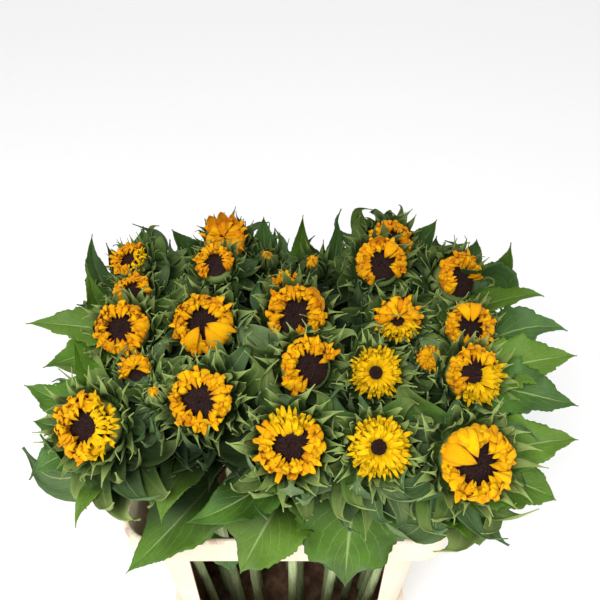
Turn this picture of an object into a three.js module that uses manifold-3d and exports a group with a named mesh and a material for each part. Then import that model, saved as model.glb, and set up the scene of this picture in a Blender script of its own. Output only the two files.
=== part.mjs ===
// A bunch of cut sunflowers standing in a windowed flower container.
// Millimetres, +Z up. The origin is the middle of the container's underside; -Y is the front.
import * as THREE from 'three';
import { mergeVertices } from 'three/addons/utils/BufferGeometryUtils.js';
import Module from 'manifold-3d';

const wasm = await Module();
wasm.setup();

// ---- driving dimensions -------------------------------------------------------------------
const HEAD_D = 66;            // a typical flower across its ray petals
const HEAD_GAP = 14;          // free space added between neighbouring flowers
const SPACING = HEAD_D + HEAD_GAP;  // the unit that all flower and leaf places are given in
const FLOWER_RISE = 200;      // height of the flowers' middles above the container's rim
const STEM_D = 14;            // stem at its cut foot
const STEM_TOP_D = 10;        // stem under the flower
const LEAF_T = 1.8;           // leaf blade at its midrib

const CRATE_W = 400;          // container across its rim, left to right
const CRATE_DEPTH = 300;      // container across its rim, front to back
const CRATE_H = 480;          // rim above the floor
const COLLAR_H = 290;         // the windowed collar; the bucket below is the rest
const WALL = 4;
const FLANGE_H = 72;          // depth of the flared band round the rim
const FLANGE_OUT = 23;        // how far the band stands out from the wall below it
const WINDOW_W = 256;         // window in the front and the back wall
const SIDE_WINDOW_W = 150;
const WINDOW_H = 172;
const CORNER_R = 34;
const FIT = 0.3;              // gap kept between pieces that touch

// ---- materials ----------------------------------------------------------------------------
const finish = (color, roughness) => new THREE.MeshStandardMaterial({ color, roughness, metalness: 0 });
const creamPlastic = () => finish(0xf6ead2, 0.42);
const leafGreen = () => finish(0x48762f, 0.62);
const rayOrange = () => finish(0xf7a712, 0.6);
const budGreen = () => finish(0x7d9455, 0.7);

const group = new THREE.Group();
group.name = 'bunch_of_sunflowers';

// ---- closed solids from rings of points ---------------------------------------------------
/** A skin over rings of equal length: closed round each ring, capped or joined end to end. */
function skin(rings, { joinEnds = false } = {}) {
  const n = rings[0].length;
  const points = rings.flat();
  const index = [];
  const last = joinEnds ? rings.length : rings.length - 1;
  for (let k = 0; k < last; k++) {
    const a = k * n;
    const b = ((k + 1) % rings.length) * n;
    for (let i = 0; i < n; i++) {
      const j = (i + 1) % n;
      index.push(a + i, a + j, b + j, a + i, b + j, b + i);
    }
  }
  if (!joinEnds) {
    cap(points, index, 0, n, true);
    cap(points, index, (rings.length - 1) * n, n, false);
  }
  return { points, index };
}

/** A fan over one ring, round its middle point. */
function cap(points, index, first, n, facesBack) {
  const middle = new THREE.Vector3();
  for (let i = 0; i < n; i++) middle.addScaledVector(points[first + i], 1 / n);
  const m = points.push(middle) - 1;
  for (let i = 0; i < n; i++) {
    const a = first + i;
    const b = first + ((i + 1) % n);
    index.push(...(facesBack ? [m, b, a] : [m, a, b]));
  }
}

function solidOf({ points, index }) {
  const mesh = new wasm.Mesh({
    numProp: 3,
    vertProperties: new Float32Array(points.flatMap((p) => [p.x, p.y, p.z])),
    triVerts: new Uint32Array(index),
  });
  return new wasm.Manifold(mesh);
}

function solidFromGeometry(geometry) {
  const bare = geometry.clone();
  bare.deleteAttribute('normal');
  bare.deleteAttribute('uv');
  const merged = mergeVertices(bare, 1e-4);
  const mesh = new wasm.Mesh({
    numProp: 3,
    vertProperties: new Float32Array(merged.attributes.position.array),
    triVerts: new Uint32Array(merged.index.array),
  });
  return new wasm.Manifold(mesh);
}

function geometryOfSolid(solid) {
  const mesh = solid.getMesh();
  const geometry = new THREE.BufferGeometry();
  geometry.setAttribute('position', new THREE.BufferAttribute(new Float32Array(mesh.vertProperties), 3));
  geometry.setIndex(new THREE.BufferAttribute(new Uint32Array(mesh.triVerts), 1));
  geometry.computeVertexNormals();
  return geometry;
}

function geometryOf({ points, index }) {
  const geometry = new THREE.BufferGeometry().setFromPoints(points);
  geometry.setIndex(index);
  geometry.computeVertexNormals();
  return geometry;
}

function addPart(name, geometry, material) {
  const mesh = new THREE.Mesh(geometry, material);
  mesh.name = name;
  group.add(mesh);
}

// ---- the container ------------------------------------------------------------------------
const CORNER_STEPS = 4;

/** A rounded rectangle at height z, anticlockwise from above. */
function roundedLoop(halfW, halfD, radius, z) {
  const loop = [];
  const corners = [[1, 1], [-1, 1], [-1, -1], [1, -1]];
  corners.forEach(([sx, sy], c) => {
    for (let i = 0; i <= CORNER_STEPS; i++) {
      const a = (c + i / CORNER_STEPS) * Math.PI / 2;
      const x = sx * (halfW - radius) + radius * Math.cos(a);
      const y = sy * (halfD - radius) + radius * Math.sin(a);
      loop.push(new THREE.Vector3(x, y, z));
    }
  });
  return loop;
}

const COLLAR_FOOT = CRATE_H - COLLAR_H;
const TAPER = 12;             // each wall leans in by this much over the collar's height
const NECK_Z = CRATE_H - FLANGE_H;

/** How far the outside of the collar's wall is drawn in from the rim, at height z. */
function drawnIn(z) {
  return FLANGE_OUT + TAPER * (NECK_Z - z) / (NECK_Z - COLLAR_FOOT);
}

function collarLoop(inset, z) {
  return roundedLoop(CRATE_W / 2 - inset, CRATE_DEPTH / 2 - inset, CORNER_R - inset * 0.4, z);
}

function windowCutter(width, depth) {
  const r = 12;
  const w = width / 2;
  const h = WINDOW_H / 2;
  const shape = new THREE.Shape();
  shape.moveTo(-w + r, -h);
  shape.lineTo(w - r, -h);
  shape.absarc(w - r, -h + r, r, -Math.PI / 2, 0);
  shape.lineTo(w, h - r);
  shape.absarc(w - r, h - r, r, 0, Math.PI / 2);
  shape.lineTo(-w + r, h);
  shape.absarc(-w + r, h - r, r, Math.PI / 2, Math.PI);
  shape.lineTo(-w, -h + r);
  shape.absarc(-w + r, -h + r, r, Math.PI, Math.PI * 1.5);
  const bar = new THREE.ExtrudeGeometry(shape, { depth, bevelEnabled: false, curveSegments: 3 });
  bar.translate(0, 0, -depth / 2);
  bar.rotateX(Math.PI / 2);
  return bar;
}

const WINDOW_TOP = NECK_Z - 6;
const WINDOW_Z = WINDOW_TOP - WINDOW_H / 2;

function collarGeometry() {
  const rimRound = 3;
  const outside = [
    collarLoop(drawnIn(COLLAR_FOOT), COLLAR_FOOT + FIT),
    collarLoop(drawnIn(NECK_Z), NECK_Z),
    collarLoop(FLANGE_OUT * 0.35, NECK_Z + FLANGE_H * 0.12),
    collarLoop(0, NECK_Z + FLANGE_H * 0.36),
    collarLoop(0, CRATE_H - rimRound),
    collarLoop(rimRound * 0.6, CRATE_H),
  ];
  const inside = [
    collarLoop(WALL, CRATE_H),
    collarLoop(WALL + rimRound, CRATE_H - rimRound),
    collarLoop(WALL + rimRound, NECK_Z + FLANGE_H * 0.38),
    collarLoop(WALL + rimRound + FLANGE_OUT * 0.35, NECK_Z + FLANGE_H * 0.16),
    collarLoop(drawnIn(NECK_Z) + WALL, NECK_Z + 2),
    collarLoop(drawnIn(COLLAR_FOOT) + WALL, COLLAR_FOOT + FIT),
  ];
  const shell = solidOf(skin([...outside, ...inside], { joinEnds: true }));
  const frontCut = windowCutter(WINDOW_W, CRATE_DEPTH * 1.4);
  frontCut.translate(0, 0, WINDOW_Z);
  const sideCut = windowCutter(SIDE_WINDOW_W, CRATE_W * 1.4);
  sideCut.rotateZ(Math.PI / 2);
  sideCut.translate(0, 0, WINDOW_Z);
  return geometryOfSolid(shell.subtract(solidFromGeometry(frontCut)).subtract(solidFromGeometry(sideCut)));
}

const BUCKET_TAPER = 14;
const BUCKET_FLOOR = 5;

function bucketGeometry() {
  const top = COLLAR_FOOT;
  const wallTop = drawnIn(COLLAR_FOOT);
  const lip = 8;
  const rings = [
    collarLoop(wallTop + BUCKET_TAPER + 3, 0),
    collarLoop(wallTop + BUCKET_TAPER, 3),
    collarLoop(wallTop, top - 16),
    collarLoop(wallTop - lip, top - 14),
    collarLoop(wallTop - lip, top),
    collarLoop(wallTop + WALL, top),
    collarLoop(wallTop + WALL + BUCKET_TAPER, BUCKET_FLOOR),
  ];
  return geometryOf(skin(rings));
}

addPart('crate_bucket', bucketGeometry(), creamPlastic());
addPart('crate_collar', collarGeometry(), creamPlastic());

// ---- the flowers --------------------------------------------------------------------------
// [across, deep, drop] from the middle of the bunch in SPACING units; size as a part of HEAD_D;
// [lean right, lean forward] in degrees; stage of opening.
const flowers = [
  ['a1', [-2.48, -1.58, 0.00], 1.04, [-16, 36], 'open'],
  ['a2', [0.09, -1.83, 0.00], 1.05, [-2, 40], 'open'],
  ['a3', [1.18, -1.88, 0.00], 0.92, [3, 38], 'young'],
  ['a4', [2.34, -2.10, 0.00], 1.14, [8, 42], 'open'],
  ['b1', [-1.09, -1.15, 0.00], 1.00, [-6, 36], 'open'],
  ['b2', [0.31, -0.59, 0.00], 1.00, [14, 40], 'open'],
  ['b3', [1.23, -0.69, 0.00], 0.84, [0, 34], 'young'],
  ['b4', [2.54, -0.73, 0.00], 0.96, [8, 34], 'open'],
  ['c1', [-2.33, 0.10, 0.00], 0.96, [-8, 30], 'open'],
  ['c2', [-1.18, 0.20, 0.00], 1.08, [-3, 32], 'folded'],
  ['c3', [0.13, 0.40, 0.00], 1.05, [4, 34], 'open'],
  ['c4', [1.61, 0.30, 0.00], 0.84, [0, 28], 'folded'],
  ['c5', [2.61, 0.14, 0.00], 0.86, [4, 30], 'folded'],
  ['d1', [-2.31, 0.89, 0.04], 0.70, [-14, 18], 'open'],
  ['d2', [-0.05, 1.24, 0.38], 0.76, [0, 22], 'folded'],
  ['d3', [0.40, 1.98, 0.50], 0.60, [0, 15], 'bud'],
  ['e1', [-2.46, 1.58, 0.02], 0.70, [-18, 14], 'open'],
  ['e2', [-1.11, 1.36, -0.12], 0.74, [-4, 16], 'open'],
  ['e3', [1.44, 1.36, -0.12], 0.94, [2, 36], 'open'],
  ['e4', [2.62, 1.15, 0.00], 0.98, [26, 28], 'open'],
  ['f1', [-1.02, 2.22, 0.19], 0.92, [-4, 22], 'folded'],
  ['f2', [1.68, 2.30, 0.25], 0.90, [4, 40], 'open'],
  ['f3', [-0.34, 2.02, 0.38], 0.50, [0, 14], 'bud'],
  ['g1', [-2.05, -0.55, 0.12], 0.56, [-8, 20], 'folded'],
  ['g2', [-1.72, -1.06, 0.00], 0.40, [-4, 18], 'bud'],
  ['g3', [2.01, -0.30, 0.19], 0.46, [4, 24], 'folded'],
].map(([name, [x, y, drop], size, [right, forward], stage]) => {
  const radius = size * HEAD_D / 2;
  const axis = new THREE.Vector3(0, 0, 1)
    .applyAxisAngle(new THREE.Vector3(1, 0, 0), THREE.MathUtils.degToRad(forward))
    .applyAxisAngle(new THREE.Vector3(0, 1, 0), THREE.MathUtils.degToRad(right));
  const middle = new THREE.Vector3(x, y, -drop).multiplyScalar(SPACING);
  middle.z += CRATE_H + FLOWER_RISE;
  return { name, radius, axis, middle, stage };
});

// Height along the flower's axis and distance from it, as parts of its radius, from neck to disc.
const PROFILES = {
  open: [[-0.92, 0.20], [-0.62, 0.52], [-0.22, 0.90], [0.12, 1.06], [0.26, 0.84], [0.06, 0.42]],
  young: [[-0.92, 0.22], [-0.62, 0.58], [-0.22, 0.96], [0.14, 1.08], [0.24, 0.72], [0.10, 0.28]],
  folded: [[-0.92, 0.22], [-0.62, 0.58], [-0.20, 0.94], [0.16, 1.00], [0.46, 0.72], [0.60, 0.34]],
  bud: [[-0.92, 0.26], [-0.62, 0.66], [-0.20, 0.98], [0.20, 0.92], [0.54, 0.58], [0.70, 0.26]],
};
const RAYS = 6;
const LOBE = 0.07;            // how much the outer rings go in and out with the ray petals

function headGeometry({ radius, axis, middle, stage }) {
  const turn = new THREE.Quaternion().setFromUnitVectors(new THREE.Vector3(0, 0, 1), axis);
  const sides = RAYS * 2;
  const rings = PROFILES[stage].map(([height, out], k) => {
    const lobe = k >= 3 ? LOBE : 0;
    return Array.from({ length: sides }, (_, i) => {
      const a = i * 2 * Math.PI / sides;
      const r = radius * out * (1 + lobe * (i % 2 ? -1 : 1));
      return new THREE.Vector3(r * Math.cos(a), r * Math.sin(a), radius * height)
        .applyQuaternion(turn).add(middle);
    });
  });
  return geometryOf(skin(rings));
}

// ---- the stems ----------------------------------------------------------------------------
const STEM_SIDES = 6;
const STEM_STEPS = 9;
const FOOT_Z = BUCKET_FLOOR + FIT;
const EDGE_ROOM = STEM_D / 2 + 9;     // from a stem's middle to the wall beside it
const widest = Math.max(...flowers.map((f) => Math.abs(f.middle.x)));
const deepest = Math.max(...flowers.map((f) => Math.abs(f.middle.y)));

/** The stem's place at height z, drawn in so that the whole bunch clears walls inset by `inset`. */
function drawnTo(flower, inset, z) {
  const sx = Math.min(1, (CRATE_W / 2 - inset - EDGE_ROOM) / widest);
  const sy = Math.min(1, (CRATE_DEPTH / 2 - inset - EDGE_ROOM) / deepest);
  return new THREE.Vector3(flower.middle.x * sx, flower.middle.y * sy, z);
}

function stemCurve(flower) {
  const neck = flower.middle.clone().addScaledVector(flower.axis, -0.92 * flower.radius - FIT);
  const below = neck.clone().addScaledVector(flower.axis, -0.4 * SPACING);
  return new THREE.CatmullRomCurve3([
    drawnTo(flower, drawnIn(COLLAR_FOOT) + WALL + BUCKET_TAPER + 8, FOOT_Z),
    drawnTo(flower, drawnIn(COLLAR_FOOT) + WALL + 6, COLLAR_FOOT + 20),
    drawnTo(flower, drawnIn(NECK_Z) + WALL, NECK_Z),
    drawnTo(flower, WALL + 8, CRATE_H + 12),
    below,
    neck,
  ], false, 'centripetal');
}

/** A round bar along a curve, its first ring level and its last square to `endAxis`; most of its rings
 * are in the bent upper part. */
function bar(curve, steps, radiusAt, endAxis) {
  const rings = [];
  for (let k = 0; k <= steps; k++) {
    const t = 1 - (1 - k / steps) ** 1.8;
    const at = curve.getPointAt(t);
    let normal = curve.getTangentAt(t);
    if (k === 0) normal = new THREE.Vector3(0, 0, 1);
    if (k === steps) normal = endAxis;
    const turn = new THREE.Quaternion().setFromUnitVectors(new THREE.Vector3(0, 0, 1), normal);
    rings.push(Array.from({ length: STEM_SIDES }, (_, i) => {
      const a = i * 2 * Math.PI / STEM_SIDES;
      return new THREE.Vector3(Math.cos(a), Math.sin(a), 0).multiplyScalar(radiusAt(t))
        .applyQuaternion(turn).add(at);
    }));
  }
  return solidOf(skin(rings));
}

// ---- the leaves ---------------------------------------------------------------------------
const BLADE = [[0, 0.05], [0.18, 0.08], [0.42, 1], [0.72, 0.66], [1, 0.04]];
const FOLD = 0.28;            // how far the blade's halves are lifted, as a part of the half width

/** One leaf from its start on the stem over a bend to its tip; `face` is the way its top looks. */
function leafSolid(start, bend, tip, width, face) {
  const spine = new THREE.QuadraticBezierCurve3(start, bend, tip);
  const rings = BLADE.map(([t, part]) => {
    const at = spine.getPoint(t);
    const along = spine.getTangent(t);
    const side = new THREE.Vector3().crossVectors(along, face).normalize();
    const up = new THREE.Vector3().crossVectors(side, along).normalize();
    const half = Math.max(part * width / 2, LEAF_T);
    const lift = part > 0.1 ? FOLD * half : 0;
    return [
      at.clone().addScaledVector(side, half).addScaledVector(up, lift),
      at.clone().addScaledVector(up, -LEAF_T / 2),
      at.clone().addScaledVector(side, -half).addScaledVector(up, lift),
      at.clone().addScaledVector(up, LEAF_T / 2),
    ];
  });
  return solidOf(skin(rings));
}

/** The free distance from a point near one centre to the half-way lines between it and the others. */
function roomTowards(centres, own, direction, from = centres[own]) {
  let room = SPACING;
  centres.forEach((other, i) => {
    const across = other.clone().sub(centres[own]).setZ(0);
    const towards = across.dot(direction);
    const halfWay = other.clone().lerp(centres[own], 0.5).sub(from).setZ(0);
    if (i !== own && towards > 0) room = Math.min(room, halfWay.dot(across) / towards);
  });
  return room;
}

/** The widest that a leaf can be, `out` along a direction from its centre, clear of the others' leaves. */
function widthAt(centres, own, direction, out) {
  const from = centres[own].clone().addScaledVector(direction, out);
  const side = new THREE.Vector3(-direction.y, direction.x, 0);
  const half = Math.min(
    roomTowards(centres, own, side, from),
    roomTowards(centres, own, side.clone().negate(), from),
  );
  return 2 * (half - LEAF_GAP * SPACING);
}

/** The directions with the most room round one centre, well apart from each other. */
function widestGaps(centres, own, count) {
  const ways = Array.from({ length: 36 }, (_, i) => {
    const a = i * Math.PI / 18;
    const direction = new THREE.Vector3(Math.cos(a), Math.sin(a), 0);
    return { direction, room: roomTowards(centres, own, direction) };
  }).sort((p, q) => q.room - p.room);
  const kept = [];
  for (const way of ways) {
    if (kept.length < count && kept.every((k) => k.direction.dot(way.direction) < 0.35)) kept.push(way);
  }
  return kept;
}

/** The point of a stem at height z, or its top if it ends lower. */
function stemAt(curve, z) {
  let low = 0;
  let high = 1;
  for (let k = 0; k < 24; k++) {
    const t = (low + high) / 2;
    if (curve.getPoint(t).z < z) low = t;
    else high = t;
  }
  return curve.getPoint(low);
}

const LEAF_GAP = 0.06;        // kept clear round each flower's own leaves, in SPACING units

/** An upright leaf that stands in a gap beside its own flower. */
function gapLeaf(own, curve, { direction, room }) {
  const flower = flowers[own];
  const reach = Math.min(room, 0.64 * SPACING) - LEAF_GAP * SPACING;
  const width = Math.min(reach * 0.8, widthAt(middles, own, direction, reach * 0.85));
  const clearsHead = reach > flower.radius * 1.2 + LEAF_T;
  const start = curve.getPointAt(1 - 1.3 * SPACING / curve.getLength());
  const tipDrop = clearsHead ? -0.18 : 0.62;
  const foot = flower.middle.clone().setZ(0);
  const tip = foot.clone().addScaledVector(direction, reach).setZ(flower.middle.z - tipDrop * SPACING);
  const bend = foot.clone().addScaledVector(direction, reach * 0.9)
    .setZ(flower.middle.z - 0.95 * SPACING);
  return leafSolid(start, bend, tip, width, direction.clone().negate().setZ(0.35).normalize());
}

const curves = flowers.map(stemCurve);
const middles = flowers.map((flower) => flower.middle);

const CANOPY_DROP = 1.4;      // level of the broad leaves below the flowers, in SPACING units
const CANOPY_STEP = 0.14;     // and how much lower it is on the next flower, and on the one after

/** A broad leaf spread level under the flowers, as far as the next stem's own leaves. */
function canopyLeaf(own, stemsThere, curve, { direction, room }, level) {
  const stem = stemsThere[own];
  const reach = room - 2 * LEAF_GAP * SPACING;
  const width = Math.min(reach * 0.95, widthAt(stemsThere, own, direction, reach * 0.5));
  const start = stemAt(curve, level - 0.3 * SPACING);
  const bend = stem.clone().addScaledVector(direction, reach * 0.45).setZ(level + 0.2 * SPACING);
  const tip = stem.clone().addScaledVector(direction, reach).setZ(level);
  return leafSolid(start, bend, tip, width, new THREE.Vector3(0, 0, 1));
}

// Leaves that show round the outside of the bunch: how far down its stem each one starts, then its bend
// and tip from the middle of the bunch, and its width, all in SPACING units.
const outerLeaves = {
  a1: [
    [1.0, [-3.00, -1.10, 0.00], [-3.53, -0.85, -0.05], 0.50],
    [1.1, [-2.95, -1.50, -0.05], [-3.34, -1.30, -0.25], 0.50],
    [1.3, [-3.05, -1.80, -0.20], [-3.25, -1.90, -0.50], 0.56],
    [1.4, [-2.62, -2.15, -0.45], [-2.72, -2.40, -1.05], 0.24],
  ],
  a2: [
    [1.7, [-0.32, -2.30, -1.35], [-0.68, -2.25, -2.66], 0.95],
    [1.1, [-0.60, -2.35, -0.75], [-1.30, -2.30, -1.05], 0.56],
  ],
  a3: [
    [1.5, [0.82, -2.40, -1.15], [0.87, -2.32, -3.00], 1.20],
  ],
  a4: [
    [1.0, [3.20, -1.70, -0.05], [3.81, -1.60, -0.25], 0.62],
    [1.3, [3.10, -2.20, -0.25], [3.52, -2.16, -0.68], 0.70],
    [1.2, [2.05, -2.35, -0.95], [1.98, -2.30, -1.55], 0.50],
    [1.4, [2.62, -2.55, -0.95], [2.60, -2.42, -1.50], 0.44],
  ],
  b1: [
    [1.9, [-1.35, -2.20, -1.25], [-2.36, -2.25, -2.62], 0.86],
    [1.3, [-1.60, -1.95, -0.60], [-1.66, -2.20, -1.25], 0.46],
  ],
  b4: [
    [1.0, [3.45, -0.45, 0.15], [4.06, -0.36, 0.00], 0.60],
    [1.2, [3.35, -1.00, 0.05], [3.94, -1.08, -0.12], 0.62],
  ],
  c1: [
    [1.0, [-3.00, 0.16, 0.22], [-3.76, 0.22, 0.10], 0.46],
    [1.2, [-2.95, -0.25, 0.00], [-3.34, -0.55, 0.06], 0.46],
  ],
  c5: [
    [1.0, [3.35, 0.20, 0.24], [4.02, 0.06, 0.12], 0.60],
  ],
  d1: [
    [1.4, [-3.08, 0.82, -0.60], [-2.86, 0.77, 0.70], 0.46],
  ],
  d3: [
    [1.2, [0.16, 2.56, -0.90], [0.25, 2.44, 0.34], 0.42],
    [1.3, [0.92, 2.46, -0.90], [0.80, 2.42, 0.24], 0.44],
  ],
  e1: [
    [1.5, [-3.32, 1.60, -0.62], [-2.92, 1.46, 0.72], 0.46],
    [1.3, [-2.50, 2.30, -0.40], [-2.40, 2.46, 0.10], 0.50],
  ],
  e4: [
    [1.2, [3.56, 1.30, -0.26], [3.30, 1.20, 0.72], 0.58],
    [1.1, [3.40, 0.75, 0.22], [3.76, 0.57, 0.25], 0.36],
    [1.5, [3.10, 1.95, -0.30], [3.05, 2.05, 0.12], 0.54],
  ],
  f1: [
    [1.2, [-1.80, 2.30, -0.40], [-1.86, 2.16, 0.24], 0.50],
    [1.4, [-1.20, 2.85, -0.60], [-1.28, 2.95, -0.10], 0.56],
  ],
  f2: [
    [1.0, [1.20, 2.75, -0.50], [1.16, 2.80, 0.05], 0.46],
    [1.2, [2.35, 2.55, -0.50], [2.48, 2.60, 0.02], 0.56],
  ],
  f3: [
    [1.2, [-0.44, 2.60, -0.40], [-0.40, 2.56, 0.20], 0.44],
  ],
  g1: [
    [1.2, [-2.86, -0.74, -0.50], [-2.80, -0.52, 0.70], 0.44],
  ],
};

// Leaves left on the lower stems, that show through the front window.
const windowLeaves = {
  a3: [[4.4, [0.80, -1.30, -3.90], [0.95, -1.28, -4.80], 0.50]],
  b1: [[4.4, [-1.20, -1.30, -3.80], [-0.95, -1.28, -4.70], 0.60]],
};

/** A leaf by its bend and tip; one inside the container is held back from the front wall. */
function placedLeaf(curve, [down, bend, tip, width], isInside) {
  const start = curve.getPointAt(1 - down * SPACING / curve.getLength());
  const place = ([x, y, z]) => {
    const point = new THREE.Vector3(x, y, z).multiplyScalar(SPACING).setZ(CRATE_H + FLOWER_RISE + z * SPACING);
    const wall = CRATE_DEPTH / 2 - drawnIn(point.z) - WALL - width * FOLD * SPACING;
    if (isInside) point.y = Math.max(point.y, -wall);
    return point;
  };
  return leafSolid(start, place(bend), place(tip), width * SPACING, new THREE.Vector3(0, -0.25, 1).normalize());
}

const GAP_LEAVES = 3;         // upright leaves on a flower in the middle of the bunch
const GAP_LEAVES_OUTSIDE = 2;
const CANOPY_LEAVES = 2;
flowers.forEach((flower, i) => {
  const curve = curves[i];
  const outer = outerLeaves[flower.name] ?? [];
  const radiusAt = (t) => THREE.MathUtils.lerp(STEM_D, STEM_TOP_D, t) / 2;
  const level = flower.middle.z - (CANOPY_DROP + CANOPY_STEP * (i % 3)) * SPACING;
  const stemsThere = curves.map((c) => stemAt(c, level));
  let solid = bar(curve, STEM_STEPS, radiusAt, flower.axis);
  for (const gap of widestGaps(middles, i, outer.length ? GAP_LEAVES_OUTSIDE : GAP_LEAVES)) {
    solid = solid.add(gapLeaf(i, curve, gap));
  }
  for (const gap of widestGaps(stemsThere, i, CANOPY_LEAVES)) {
    solid = solid.add(canopyLeaf(i, stemsThere, curve, gap, level));
  }
  for (const leaf of outer) solid = solid.add(placedLeaf(curve, leaf, false));
  for (const leaf of windowLeaves[flower.name] ?? []) solid = solid.add(placedLeaf(curve, leaf, true));
  addPart(`stem_${flower.name}`, geometryOfSolid(solid), leafGreen());
  addPart(`flower_${flower.name}`, headGeometry(flower), flower.stage === 'bud' ? budGreen() : rayOrange());
});

export default group;
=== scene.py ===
"""A bunch of part-open sunflowers standing in a cream windowed flower container."""
import math

import bmesh
import bpy
import numpy as np
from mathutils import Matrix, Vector


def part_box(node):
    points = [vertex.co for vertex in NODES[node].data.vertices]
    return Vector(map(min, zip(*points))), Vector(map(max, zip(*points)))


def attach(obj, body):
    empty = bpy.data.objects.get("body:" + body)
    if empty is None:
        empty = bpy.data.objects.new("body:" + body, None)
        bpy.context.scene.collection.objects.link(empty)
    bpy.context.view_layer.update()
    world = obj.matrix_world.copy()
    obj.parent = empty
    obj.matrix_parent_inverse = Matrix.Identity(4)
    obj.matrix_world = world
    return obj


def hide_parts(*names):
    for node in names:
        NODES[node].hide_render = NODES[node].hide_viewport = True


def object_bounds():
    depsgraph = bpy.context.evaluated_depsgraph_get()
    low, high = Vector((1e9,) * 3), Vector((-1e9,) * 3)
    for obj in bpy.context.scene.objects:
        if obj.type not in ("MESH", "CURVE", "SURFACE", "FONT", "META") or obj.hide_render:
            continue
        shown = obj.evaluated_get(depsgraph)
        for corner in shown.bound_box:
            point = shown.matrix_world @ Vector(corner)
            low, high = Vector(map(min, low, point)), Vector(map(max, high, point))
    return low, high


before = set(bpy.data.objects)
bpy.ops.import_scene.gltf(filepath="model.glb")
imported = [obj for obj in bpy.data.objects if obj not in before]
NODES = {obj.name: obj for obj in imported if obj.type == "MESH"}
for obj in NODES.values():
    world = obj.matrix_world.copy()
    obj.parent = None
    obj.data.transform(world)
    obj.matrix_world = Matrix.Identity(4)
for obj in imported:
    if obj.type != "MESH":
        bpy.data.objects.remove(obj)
cad_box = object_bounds()
SCENE = bpy.context.scene
NAMES = sorted(n[len("flower_"):] for n in NODES if n.startswith("flower_"))

# ---- sizes, in metres -----------------------------------------------------------------------
CAD_LOW, CAD_HIGH = (np.array(corner[:]) for corner in cad_box)
HALF_W, HALF_D, RIM_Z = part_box("crate_collar")[1]
# the height of a middling flower
FLOWER_Z = float(np.median([sum(corner[2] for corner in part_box("flower_" + n)) for n in NAMES])) / 2
UP = np.array((0.0, 0.0, 1.0))
BOX_EDGE = 0.009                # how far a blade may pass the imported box

CAMERA_PLACE = (0.016, -0.576, 1.313)
CAMERA_TILT = 45.0              # degrees up from straight down
CAMERA_LENS = 45.0              # millimetres, on a 36 mm sensor
WORLD_STRENGTH = 0.85


def unit(v):
    v = np.asarray(v, float)
    return v / np.maximum(np.linalg.norm(v, axis=-1, keepdims=True), 1e-12)


def place_object(name, data):
    made = bpy.data.objects.new(name, data)
    SCENE.collection.objects.link(made)
    return made


# ---- camera and light -----------------------------------------------------------------------
camera_data = bpy.data.cameras.new("camera")
camera_data.lens = CAMERA_LENS
camera_data.sensor_width = 36.0
SCENE.camera = place_object("camera", camera_data)
SCENE.camera.location = CAMERA_PLACE
SCENE.camera.rotation_euler = (math.radians(CAMERA_TILT), 0.0, 0.0)


def area_light(name, place, target, size, power):
    data = bpy.data.lights.new(name, "AREA")
    data.shape = "DISK"
    data.size = size
    data.energy = power
    lamp = place_object(name, data)
    lamp.location = place
    lamp.rotation_euler = (Vector(target) - Vector(place)).to_track_quat("-Z", "Y").to_euler()


area_light("key", (-0.5, -1.3, 2.4), (0, 0, 0.6), 1.0, 42)
area_light("fill", (0.5, -2.3, 0.9), (0, 0, 0.4), 1.6, 11)

SCENE.world = bpy.data.worlds.new("world")
SCENE.world.use_nodes = True
background = SCENE.world.node_tree.nodes["Background"]
background.inputs["Color"].default_value = (1, 1, 1, 1)
background.inputs["Strength"].default_value = WORLD_STRENGTH
SCENE.view_settings.view_transform = "Standard"
SCENE.view_settings.look = "None"


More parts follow.
